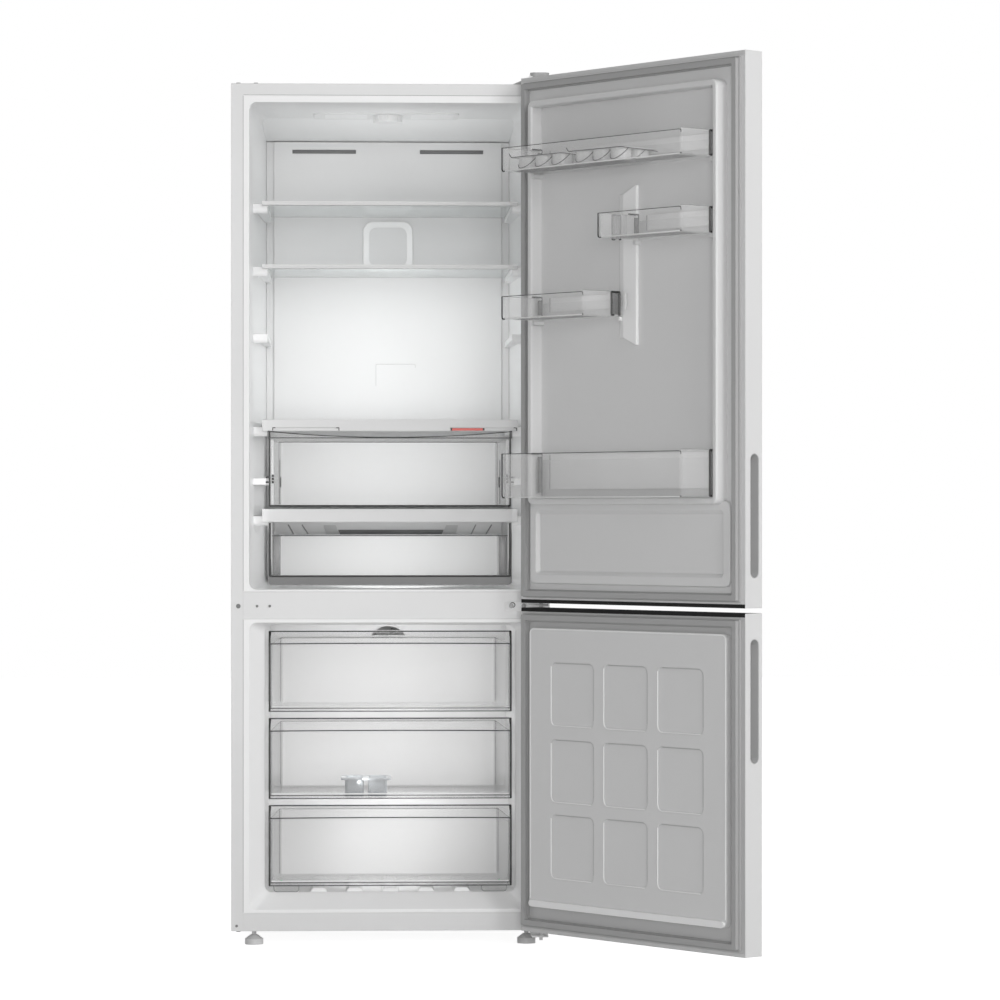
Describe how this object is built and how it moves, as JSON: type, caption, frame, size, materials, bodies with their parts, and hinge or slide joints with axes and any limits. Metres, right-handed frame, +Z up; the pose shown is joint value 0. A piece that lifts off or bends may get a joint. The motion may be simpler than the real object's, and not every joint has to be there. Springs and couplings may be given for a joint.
{
  "type": "bottom freezer refrigerator",
  "caption": "Upright refrigerator over a freezer, doors hinged on the right and open, glass shelves, clear drawers, door bins and levelling feet.",
  "frame": {"origin": "on the floor, under the middle of the footprint of the open refrigerator (doors open 128.4 degrees, drawers in); the middle of the cabinet's front face is 204.5 mm to -X and 10.1 mm to +Y of it", "axes": "+X to the right of a person who stands in front of the cabinet, +Y from the front to the back, +Z up"},
  "size_m": [1.1069, 1.229, 1.911],
  "materials": {
    "body_paint": "satin light grey-white enamel on sheet",
    "back_sheet": "plain coated sheet",
    "base_sheet": "plain zinc-coated sheet",
    "liner_white": "smooth formed polystyrene, soft gloss",
    "fitting_white": "moulded, soft gloss",
    "door_liner": "smooth formed polystyrene, soft gloss",
    "insulation": "rigid foam, hidden",
    "seal_grey": "soft matt seal",
    "cap_black": "moulded, matt",
    "grip_grey": "moulded, matt",
    "clear_bin": "transparent, polished",
    "clear_drawer": "transparent, lightly frosted",
    "egg_tray_clear": "transparent, polished",
    "shelf_glass": "polished safety glass",
    "drawer_dark": "moulded, soft gloss",
    "lens": "diffusing",
    "dial_white": "moulded, soft gloss",
    "slider_red": "moulded, soft gloss",
    "hinge_metal": "painted steel plate",
    "hinge_cover": "moulded, matt",
    "screw_steel": "bright zinc",
    "plug_plastic": "moulded, matt",
    "foot_plastic": "moulded, matt",
    "roller_plastic": "moulded, matt",
    "coil_alu": "mill finish",
    "motor_black": "moulded, matt",
    "fan_grey": "moulded, matt",
    "compressor_black": "black painted shell",
    "condenser_black": "black painted tube",
    "tray_black": "moulded, matt",
    "ice_tray_blue": "translucent, smooth"
  },
  "bodies": {
    "cabinet": {"outer_wrap": "body_paint", "back_plate": "back_sheet", "base_frame": "base_sheet", "cabinet_foam": "insulation", "fridge_liner": "liner_white", "freezer_liner": "liner_white", "front_rails": "body_paint", "top_hinge": "hinge_metal", "top_hinge_cover": "hinge_cover", "mid_hinge": "hinge_metal", "bottom_hinge": "hinge_metal", "hinge_screws": "screw_steel", "blanking_plugs": "plug_plastic", "fridge_back_panel": "fitting_white", "fan_cover": "fitting_white", "ceiling_housing": "fitting_white", "lamp_lens": "lens", "shelf_glasses": "shelf_glass", "shelf_trims": "fitting_white", "cover_glasses": "shelf_glass", "chill_cover_frame": "fitting_white", "crisper_cover_frame": "fitting_white", "drawer_runners": "fitting_white", "freezer_back_cover": "fitting_white", "evaporator": "coil_alu", "fan_motor": "motor_black", "compressor": "compressor_black", "condenser_coil": "condenser_black", "evaporation_tray": "tray_black", "control_box": "tray_black"},
    "upper_door": {"upper_door_skin": "body_paint", "upper_door_caps": "cap_black", "upper_door_liner": "door_liner", "upper_door_foam": "insulation", "upper_door_gasket": "seal_grey", "upper_door_grip": "grip_grey"},
    "lower_door": {"lower_door_skin": "body_paint", "lower_door_caps": "cap_black", "lower_door_liner": "door_liner", "lower_door_foam": "insulation", "lower_door_gasket": "seal_grey", "lower_door_grip": "grip_grey"},
    "chill_drawer": {"chill_drawer": "clear_drawer"},
    "crisper_drawer": {"crisper_drawer": "clear_drawer", "crisper_front": "drawer_dark"},
    "top_freezer_drawer": {"top_freezer_drawer": "clear_drawer"},
    "middle_freezer_drawer": {"middle_freezer_drawer": "clear_drawer"},
    "bottom_freezer_drawer": {"bottom_freezer_drawer": "clear_drawer"},
    "ice_tray": {"ice_tray": "ice_tray_blue"},
    "humidity_slider": {"humidity_slider": "slider_red"},
    "temperature_dial": {"temperature_dial": "dial_white"},
    "left_foot": {"left_foot": "foot_plastic"},
    "right_foot": {"right_foot": "foot_plastic"},
    "rear_rollers": {"rear_rollers": "roller_plastic"},
    "evaporator_fan": {"evaporator_fan": "fan_grey"},
    "top_bin": {"top_bin": "clear_bin"},
    "egg_trays": {"egg_trays": "egg_tray_clear"},
    "upper_half_bin": {"upper_half_bin": "clear_bin"},
    "lower_half_bin": {"lower_half_bin": "clear_bin"},
    "bottom_bin": {"bottom_bin": "clear_bin"}
  },
  "joints": [
    {"name": "upper_door_swing", "type": "hinge", "parent": "cabinet", "child": "upper_door", "pos_m": [0.12382, -0.04379, 1.325], "axis": [0, 0, 1], "range_deg": [-128.4, 6.6]},
    {"name": "lower_door_swing", "type": "hinge", "parent": "cabinet", "child": "lower_door", "pos_m": [0.12382, -0.04379, 0.39], "axis": [0, 0, 1], "range_deg": [-128.4, 6.6]},
    {"name": "chill_drawer_slide", "type": "slide", "parent": "cabinet", "child": "chill_drawer", "axis": [0, -1, 0], "range_m": [0, 0.24]},
    {"name": "crisper_drawer_slide", "type": "slide", "parent": "cabinet", "child": "crisper_drawer", "axis": [0, -1, 0], "range_m": [0, 0.28]},
    {"name": "top_freezer_drawer_slide", "type": "slide", "parent": "cabinet", "child": "top_freezer_drawer", "axis": [0, -1, 0], "range_m": [0, 0.3]},
    {"name": "middle_freezer_drawer_slide", "type": "slide", "parent": "cabinet", "child": "middle_freezer_drawer", "axis": [0, -1, 0], "range_m": [0, 0.3]},
    {"name": "bottom_freezer_drawer_slide", "type": "slide", "parent": "cabinet", "child": "bottom_freezer_drawer", "axis": [0, -1, 0], "range_m": [0, 0.2]},
    {"name": "humidity_slider_slide", "type": "slide", "parent": "cabinet", "child": "humidity_slider", "axis": [1, 0, 0], "range_m": [0, 0.03]},
    {"name": "temperature_dial_turn", "type": "hinge", "parent": "cabinet", "child": "temperature_dial", "pos_m": [-0.20748, 0.26111, 1.84], "axis": [0, 0, 1], "range_deg": [-135, 135]},
    {"name": "left_foot_turn", "type": "hinge", "parent": "cabinet", "child": "left_foot", "pos_m": [-0.50448, 0.04011, 0.02], "axis": [0, 0, 1], "continuous": true},
    {"name": "right_foot_turn", "type": "hinge", "parent": "cabinet", "child": "right_foot", "pos_m": [0.09552, 0.04011, 0.02], "axis": [0, 0, 1], "continuous": true},
    {"name": "rear_rollers_turn", "type": "hinge", "parent": "cabinet", "child": "rear_rollers", "pos_m": [-0.20448, 0.58011, 0.014], "axis": [1, 0, 0], "continuous": true},
    {"name": "evaporator_fan_turn", "type": "hinge", "parent": "cabinet", "child": "evaporator_fan", "pos_m": [-0.20448, 0.49511, 0.64], "axis": [0, 1, 0], "continuous": true},
    {"name": "top_bin_lift", "type": "slide", "parent": "upper_door", "child": "top_bin", "axis": [0, 0, 1], "range_m": [0, 0.03]},
    {"name": "egg_trays_lift", "type": "slide", "parent": "top_bin", "child": "egg_trays", "axis": [0, 0, 1], "range_m": [0, 0.04]},
    {"name": "upper_half_bin_lift", "type": "slide", "parent": "upper_door", "child": "upper_half_bin", "axis": [0, 0, 1], "range_m": [0, 0.03]},
    {"name": "lower_half_bin_lift", "type": "slide", "parent": "upper_door", "child": "lower_half_bin", "axis": [0, 0, 1], "range_m": [0, 0.03]},
    {"name": "bottom_bin_lift", "type": "slide", "parent": "upper_door", "child": "bottom_bin", "axis": [0, 0, 1], "range_m": [0, 0.03]},
    {"name": "ice_tray_lift", "type": "slide", "parent": "middle_freezer_drawer", "child": "ice_tray", "axis": [0, 0, 1], "range_m": [0, 0.06]}
  ]
}
